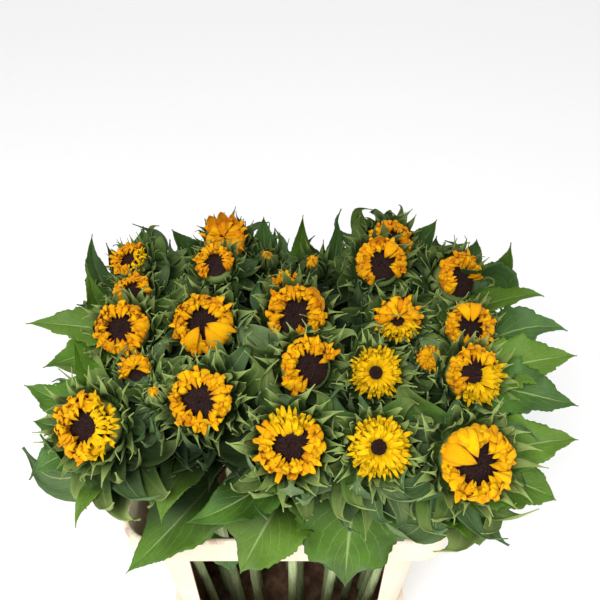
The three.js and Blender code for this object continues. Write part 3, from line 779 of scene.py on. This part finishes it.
# round the head: how many bracts, their path of (out, height) and half a bract's width, all in
# parts of the head's radius
BRACT_WHORLS = {
    "open": [(17, [(0.30, -0.80), (0.92, -0.55), (1.14, -0.05), (1.22, 0.26), (1.38, 0.44)], 0.26),
             (16, [(0.30, -0.86), (0.98, -0.66), (1.30, -0.25), (1.46, 0.06), (1.70, 0.16)], 0.28)],
    "young": [(17, [(0.30, -0.80), (0.90, -0.50), (1.10, 0.00), (1.20, 0.28), (1.32, 0.46)], 0.25),
              (16, [(0.30, -0.86), (0.94, -0.62), (1.26, -0.22), (1.42, 0.06), (1.66, 0.14)],
               0.28)],
    "folded": [(15, [(0.28, -0.80), (0.80, -0.50), (1.02, 0.00), (1.04, 0.40), (1.14, 0.66)], 0.28),
               (15, [(0.28, -0.86), (0.90, -0.60), (1.22, -0.20), (1.36, 0.16), (1.58, 0.30)],
                0.28)],
    "bud": [(12, [(0.28, -0.86), (0.85, -0.55), (1.00, 0.05), (0.80, 0.65), (0.42, 1.02)], 0.36),
            (11, [(0.28, -0.80), (0.78, -0.45), (0.90, 0.10), (0.62, 0.70), (0.20, 1.02)], 0.36),
            (14, [(0.30, -0.90), (0.95, -0.74), (1.30, -0.20), (1.46, 0.34), (1.76, 0.70)], 0.30)],
}
# leaflets on the stem under the head, reaching out between its neighbours: how many, how far
# below the neck, their path of (out, height), and half a leaflet's width, all in metres
LEAFLETS = [
    (10, 0.000, [(0.004, 0.002), (0.034, -0.004), (0.054, 0.004), (0.066, 0.016), (0.070, 0.034)],
     0.0165),
    (10, 0.010, [(0.004, 0.000), (0.036, -0.010), (0.062, -0.008), (0.082, 0.004), (0.088, 0.026)],
     0.0185),
    (9, 0.030, [(0.004, 0.000), (0.034, -0.010), (0.060, -0.010), (0.086, -0.002), (0.104, 0.014)],
     0.0200),
    (10, 0.060, [(0.004, 0.000), (0.036, -0.006), (0.068, -0.004), (0.092, 0.008), (0.106, 0.020)],
     0.0330)]
TYPICAL_RADIUS = 0.033          # the head whose leaflets have those lengths
PALE_LEAFLETS = 0.35            # the share that show a leaf's pale back
CUP_SIDES = 24
# the green cup under the petals, from the neck up, in parts of the head's radius
CUP_HEIGHTS = np.array((-0.96, -0.90, -0.80, -0.62, -0.40, -0.18, -0.08))
CUP_WIDTHS = np.array((0.19, 0.30, 0.52, 0.76, 0.86, 0.80, 0.62))


def around_evenly(count, jitter, rng):
    """Angles all round, one by one, each moved by up to a share of the step between them."""
    start = rng.uniform(0, 6)
    for k in range(count):
        yield start + (k + rng.uniform(-jitter, jitter)) * 2 * math.pi / count


def covers_a_head(points):
    """Whether a strip would run through or lie over any flower's face."""
    for flower in FLOWERS:
        away = (np.array(points) - flower.middle) / flower.radius
        height = away @ flower.axis
        out = np.linalg.norm(away - height[:, None] * flower.axis, axis=1)
        if ((out < 0.95) & (height > -0.25) & (height < 2)).any():
            return True
    return False


def make_bracts(flower, rng):
    piece = Piece()
    for count, path, half in BRACT_WHORLS[flower.stage]:
        for angle in around_evenly(count, 0.25, rng):
            add_strip(piece, flower, angle, near(rng, path, 0.26), half * rng.uniform(0.8, 1.1),
                      rng, 0.0009, rng.random(), crinkle=0.10, rows=14, columns=5, peak=0.30,
                      sharp=1.55, cup=0.32, twist=rng.uniform(-0.8, 0.8),
                      sweep=rng.uniform(-0.30, 0.30))
    for count, below, path, half in LEAFLETS:
        place = flower.on_stem(below)
        for angle in around_evenly(count, 0.35, rng):
            length = rng.uniform(0.65, 1.10) * (0.7 + 0.3 * flower.radius / TYPICAL_RADIUS)
            curled = [(out * length, (height - 0.10 * out) * length + rng.uniform(-0.004, 0.004))
                      for out, height in path]
            tip_out, tip_height = curled[-1]
            curled[-1] = (tip_out - rng.uniform(0, 0.012), tip_height + rng.uniform(-0.018, 0.010))
            if covers_a_head([place.around(angle, out, height) for out, height in curled]):
                continue
            add_strip(piece, place, angle, curled, half * length, rng, 0.0010, rng.random(),
                      crinkle=0.14, rows=18, columns=7, peak=0.25, sharp=1.55, cup=0.38,
                      twist=rng.uniform(-1.2, 1.2), slot=int(rng.random() < PALE_LEAFLETS),
                      sweep=rng.uniform(-0.65, 0.65))
    middles = np.array([flower.around(0, 0, height) for height in CUP_HEIGHTS])
    piece.bar(middles, CUP_WIDTHS * flower.radius, CUP_SIDES, 0.4)
    piece.build("bracts_" + flower.name, [BRACT, LEAF_BACK], "flower_" + flower.name)


# as BRACT_WHORLS, for the ray petals
RAY_WHORLS = {
    "open": [(30, [(0.66, -0.30), (0.90, -0.06), (1.00, 0.22), (0.93, 0.42), (0.76, 0.46)], 0.130),
             (30, [(0.64, -0.20), (0.86, 0.04), (0.90, 0.30), (0.77, 0.46), (0.57, 0.38)], 0.116),
             (26, [(0.60, -0.10), (0.76, 0.14), (0.76, 0.34), (0.66, 0.42), (0.56, 0.28)], 0.100),
             (14, [(0.78, 0.00), (0.92, 0.20), (0.97, 0.34), (1.02, 0.42), (1.07, 0.38)], 0.085)],
    "young": [(34, [(0.60, -0.16), (0.86, 0.04), (0.98, 0.20), (1.04, 0.30), (1.08, 0.30)], 0.070),
              (32, [(0.46, -0.06), (0.68, 0.16), (0.82, 0.30), (0.90, 0.38), (0.96, 0.36)], 0.070),
              (28, [(0.26, 0.02), (0.42, 0.24), (0.58, 0.36), (0.70, 0.42), (0.78, 0.40)], 0.070)],
    "folded": [(22, [(0.64, -0.20), (0.90, 0.10), (0.88, 0.44), (0.62, 0.62), (0.26, 0.52)], 0.150),
               (20, [(0.58, -0.12), (0.78, 0.16), (0.74, 0.44), (0.46, 0.56), (0.12, 0.44)], 0.135),
               (14, [(0.74, -0.02), (0.90, 0.24), (0.92, 0.46), (0.98, 0.62), (1.06, 0.62)],
                0.100)],
    "bud": [(9, [(0.42, 0.20), (0.50, 0.55), (0.38, 0.88), (0.20, 1.00), (0.04, 0.98)], 0.16)],
}


# where petals are missing or still thin: the middle and half-width of the place, in degrees round
# the head from its right, anticlockwise
BARE = {"b2": (-38, 66), "c3": (-108, 26), "d1": (-60, 50), "e2": (-70, 40), "e3": (-75, 42),
        "e4": (-52, 72), "f2": (-92, 52), "g1": (-80, 60)}
THIN_SIDE = {"a1": (-5, 72), "a2": (85, 42), "b4": (-48, 80), "c4": (-90, 70), "e1": (-20, 60)}
# large petals: their place in degrees, and which of BIG_PATHS, folded in or standing up
BIG_PETALS = {"a4": [(158, 0), (118, 0)], "c2": [(-118, 0), (-52, 0), (-22, 0)],
              "c3": [(48, 1), (22, 1)], "c5": [(74, 0), (112, 0)], "e3": [(100, 1), (60, 0)],
              "f1": [(128, 1), (62, 1), (95, 1)]}
BIG_PATHS = [[(0.78, -0.05), (0.98, 0.24), (0.86, 0.56), (0.52, 0.66), (0.18, 0.52)],
             [(0.70, -0.05), (0.86, 0.24), (0.94, 0.58), (0.96, 0.90), (0.88, 1.14)]]
RAY_STAGE = {"c2": "open", "c5": "open", "d2": "open"}     # where it isn't the flower's stage
RAY_REACH = 0.93                # rays, drawn in to show the bracts round them


def is_within(angle, sector):
    if sector is None:
        return False
    middle, half = sector
    return abs((math.degrees(angle) - middle + 180) % 360 - 180) < half


def make_rays(flower, rng):
    piece = Piece()
    stage = RAY_STAGE.get(flower.name, flower.stage)
    bare, thin = BARE.get(flower.name), THIN_SIDE.get(flower.name)
    # the flowers at the front have opened furthest and are the yellowest; their petals are also
    # brighter there, painted light that falls off towards the back
    front = np.clip((CAD_HIGH[1] - flower.middle[1]) / (CAD_HIGH[1] - CAD_LOW[1]), 0, 1)
    for kind in (stage, "young") if thin else (stage,):
        slim = kind == "young"
        for count, path, half in RAY_WHORLS[kind]:
            for angle in around_evenly(count, 0.3, rng):
                if is_within(angle, bare) or (thin and is_within(angle, thin) == (kind == stage)):
                    continue
                drawn = [(out * RAY_REACH, height) for out, height in near(rng, path, 0.26)]
                # tone: part random, part painted light that is brighter towards the front
                add_strip(piece, flower, angle, drawn, half * rng.uniform(0.8, 1.35), rng, 0.0008,
                          0.55 * rng.random() + 0.45 * front, crinkle=0.11, rows=12, columns=7,
                          peak=0.50 if slim else 0.54, sharp=0.8 if slim else 0.70, cup=0.40,
                          twist=rng.uniform(-0.35, 0.35), slot=int(slim))
    for degrees, kind in BIG_PETALS.get(flower.name, ()):
        # tone: part random, part painted light that is brighter towards the front
        add_strip(piece, flower, math.radians(degrees), near(rng, BIG_PATHS[kind], 0.08), 0.26,
                  rng, 0.0009, 0.4 + 0.6 * front * rng.random(), crinkle=0.12, rows=16, columns=11,
                  peak=0.42, sharp=0.75, cup=0.28)
    piece.build("rays_" + flower.name, [RAY, YOUNG_RAY], "flower_" + flower.name)


def make_disc(flower, rng):
    piece = Piece()
    add_disc(piece, flower, rng, 0.34 if flower.stage == "young" else 0.68)
    piece.build("disc_" + flower.name, [DISC], "flower_" + flower.name)


STALK_SIDES, STALK_RIBS = 18, 7
STALK_RADIUS, STALK_THINS = 0.0070, 0.0024     # at its foot, and how much less at its neck


def make_stalk(flower, rng):
    piece = Piece()
    along = np.linspace(0, 1, len(flower.line))
    angle = np.linspace(0, 2 * np.pi, STALK_SIDES, endpoint=False)
    uneven = 0.03 * np.sin(along * 40 + rng.uniform(0, 6))
    ribs = 1 + 0.045 * np.cos(STALK_RIBS * angle) + uneven[:, None]
    radii = STALK_RADIUS - STALK_THINS * along ** 1.5
    piece.bar(flower.line, radii, STALK_SIDES, rng.random(), ribs)
    piece.build("stalk_" + flower.name, [STEM], "stem_" + flower.name)


def make_leaves(flower, rng):
    piece = Piece()
    for leaf in flower.leaves:
        add_leaf(piece, leaf, rng)
    piece.build("leaves_" + flower.name, [LEAF, LEAF_BACK], "stem_" + flower.name)


# ---- the container ------------------------------------------------------------------------------
WALL = 0.004
BOTTOM = 0.005                  # the bucket's
CORNER = 0.034                  # round the container, seen from above
CORNER_STEPS = 8
WINDOW_CORNER = 0.012
WINDOW_CORNER_STEPS = 6
LEVEL = 0.001                   # packed corners this close in height are level
BUCKET_RIBS = (0.30, 0.62)      # in parts of its height
QUARTERS = ((1, 1, 0), (-1, 1, 90), (-1, -1, 180), (1, -1, 270))     # signs, and first degrees


def rounded(half_w, half_d, corner, steps):
    """The points of a rectangle with round corners."""
    for sign_w, sign_d, first in QUARTERS:
        for k in range(steps + 1):
            a = math.radians(first + 90 * k / steps)
            yield (sign_w * (half_w - corner) + corner * math.cos(a),
                   sign_d * (half_d - corner) + corner * math.sin(a))


def shell(name, profile, capped):
    """A mesh through round rectangles, from a profile of (half-width, height) that runs up the
    outside and down the inside; its ends are capped, or it closes on itself."""
    loops = [[(x, y, z) for x, y in rounded(w, w - (HALF_W - HALF_D), CORNER, CORNER_STEPS)]
             for w, z in profile]
    n = len(loops[0])
    faces = []
    if capped:
        last = (len(loops) - 1) * n
        faces += [tuple(range(n - 1, -1, -1)), tuple(range(last, last + n))]
    for i in range(len(loops) - capped):
        j = (i + 1) % len(loops)
        for k in range(n):
            nxt = (k + 1) % n
            faces.append((i * n + k, i * n + nxt, j * n + nxt, j * n + k))
    mesh = bpy.data.meshes.new(name)
    mesh.from_pydata([point for loop in loops for point in loop], [], faces)
    mesh.update()
    return mesh


def window_cutter(half, low, high, sign, across_x):
    """A rounded prism through one wall: a front or back one lies across X, a side one across Y."""
    middle = (low + high) / 2
    loop = [(a, middle + z) for a, z in rounded(half, (high - low) / 2, WINDOW_CORNER,
                                                WINDOW_CORNER_STEPS)]
    n = len(loop)
    points = []
    for part in (0.6, 1.3):                 # from well inside the wall to well outside it
        reach = sign * part * (HALF_D if across_x else HALF_W)
        points += [(a, reach, z) if across_x else (reach, a, z) for a, z in loop]
    faces = [tuple(range(n)), tuple(range(2 * n - 1, n - 1, -1))]
    faces += [(k, n + k, n + (k + 1) % n, (k + 1) % n) for k in range(n)]
    mesh = bpy.data.meshes.new("cutter")
    mesh.from_pydata(points, [], faces)
    fixed = bmesh.new()
    fixed.from_mesh(mesh)
    bmesh.ops.recalc_face_normals(fixed, faces=fixed.faces)
    fixed.to_mesh(mesh)
    fixed.free()
    return mesh


def make_moulding(name, mesh, cutters, bevel, replaced):
    """A shell with its windows cut, its edges softened and its inner faces darkened with painted
    shade.
    """
    made = place_object(name, mesh)
    tools = [place_object("cutter", cutter) for cutter in cutters]
    for tool in tools:
        cut = made.modifiers.new("cut", "BOOLEAN")
        cut.operation, cut.solver, cut.object = "DIFFERENCE", "EXACT", tool
    soft = made.modifiers.new("soft", "BEVEL")
    soft.width, soft.segments = bevel, 3
    soft.limit_method, soft.angle_limit = "ANGLE", math.radians(40)
    bpy.context.view_layer.update()
    evaluated = made.evaluated_get(bpy.context.evaluated_depsgraph_get())
    final = bpy.data.meshes.new_from_object(evaluated)
    made.modifiers.clear()
    for tool in tools:
        bpy.data.objects.remove(tool)
    made.data = final
    final.materials.clear()
    final.materials.append(CRATE)
    final.materials.append(CRATE_INSIDE)
    # inward faces and the bucket's floor take the painted-shade inside material
    for face in final.polygons:
        on_floor = face.normal.z > 0.9 and face.center.z < 0.03
        if on_floor or face.center.xy.dot(face.normal.xy) < -0.01:
            face.material_index = 1
    final.polygons.foreach_set("use_smooth", np.ones(len(final.polygons), bool))
    final.set_sharp_from_angle(angle=math.radians(35))
    declare(made, replaced)


def widest(points, low, high):
    """The widest half-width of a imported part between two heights."""
    return points[(points[:, 2] > low) & (points[:, 2] < high)][:, 0].max()


def make_collar():
    collar, _ = welded(NODES["crate_collar"])
    foot_z = collar[:, 2].min()
    # a wall's only corners away from the container's own corners are its window's
    x, y = np.abs(collar[:, 0]), np.abs(collar[:, 1])
    front = collar[(x < 0.7 * HALF_W) & (y > 0.7 * HALF_D)]
    side = collar[(y < 0.6 * HALF_D) & (x > 0.7 * HALF_W)]
    low, high = front[:, 2].min(), front[:, 2].max()
    wide, deep = np.abs(front[:, 0]).max(), np.abs(side[:, 1]).max()
    neck_z = collar[collar[:, 2] > high + LEVEL][:, 2].min()
    foot = widest(collar, foot_z - LEVEL, foot_z + LEVEL)
    neck = widest(collar, neck_z - LEVEL, neck_z + LEVEL)
    edge, band = HALF_W, RIM_Z - neck_z
    profile = [
        (foot, foot_z), (foot + 0.0006, foot_z + 0.012), (neck - 0.0004, neck_z - 0.010),
        (neck + 0.0012, neck_z), (edge - 0.008, neck_z + 0.12 * band),
        (edge - 0.0008, neck_z + 0.31 * band), (edge, neck_z + 0.38 * band),
        (edge, RIM_Z - 0.017), (edge - 0.0010, RIM_Z - 0.015), (edge, RIM_Z - 0.013),
        (edge, RIM_Z - 0.004), (edge - 0.0018, RIM_Z),
        (edge - WALL - 0.0010, RIM_Z), (edge - WALL - 0.0028, RIM_Z - 0.004),
        (edge - WALL - 0.003, neck_z + 0.38 * band), (edge - WALL - 0.011, neck_z + 0.16 * band),
        (neck - WALL, neck_z + 0.002), (foot - WALL, foot_z)]
    cutters = [window_cutter(half, low, high, sign, across_x)
               for half, across_x in ((wide, True), (deep, False)) for sign in (-1, 1)]
    make_moulding("crate_collar_moulding", shell("collar", profile, False), cutters, 0.0011,
                  "crate_collar")


def make_bucket():
    bucket, _ = welded(NODES["crate_bucket"])
    top, lip = bucket[:, 2].max(), bucket[:, 0].max()
    base = widest(bucket, 0.002, 0.004) - 0.003
    body = widest(bucket, top - 0.017, top - 0.0155)
    profile = [(base - 0.010, 0.0), (base, 0.0005), (base + 0.003, 0.004)]
    for rib in BUCKET_RIBS:
        z, w = top * rib, base + 0.003 + (body - base - 0.003) * rib
        profile += [(w, z - 0.004), (w + 0.0014, z - 0.002), (w + 0.0014, z + 0.002),
                    (w, z + 0.004)]
    profile += [
        (body, top - 0.016), (lip - 0.001, top - 0.014), (lip, top - 0.012), (lip, top - 0.002),
        (lip - 0.0015, top),
        (body - WALL + 0.0004, top), (body - WALL, top - 0.004), (base - 0.001, BOTTOM + 0.001),
        (base - 0.006, BOTTOM)]
    make_moulding("crate_bucket_moulding", shell("bucket", profile, True), [], 0.0008,
                  "crate_bucket")


def make_floor():
    low, near, far, z = -6.0, -6.0, 8.0, -0.0005
    mesh = bpy.data.meshes.new("floor")
    corners = [(low, near, z), (-low, near, z), (-low, far, z), (low, far, z)]
    mesh.from_pydata(corners, [], [(0, 1, 2, 3)])
    mesh.materials.append(floor_material())
    place_object("floor", mesh)


make_collar()
make_bucket()
make_floor()
for number, flower in enumerate(FLOWERS):
    green_rng = np.random.default_rng(100 + number)
    petal_rng = np.random.default_rng(500 + number)
    make_stalk(flower, green_rng)
    make_leaves(flower, green_rng)
    make_bracts(flower, green_rng)
    make_rays(flower, petal_rng)
    make_disc(flower, petal_rng)
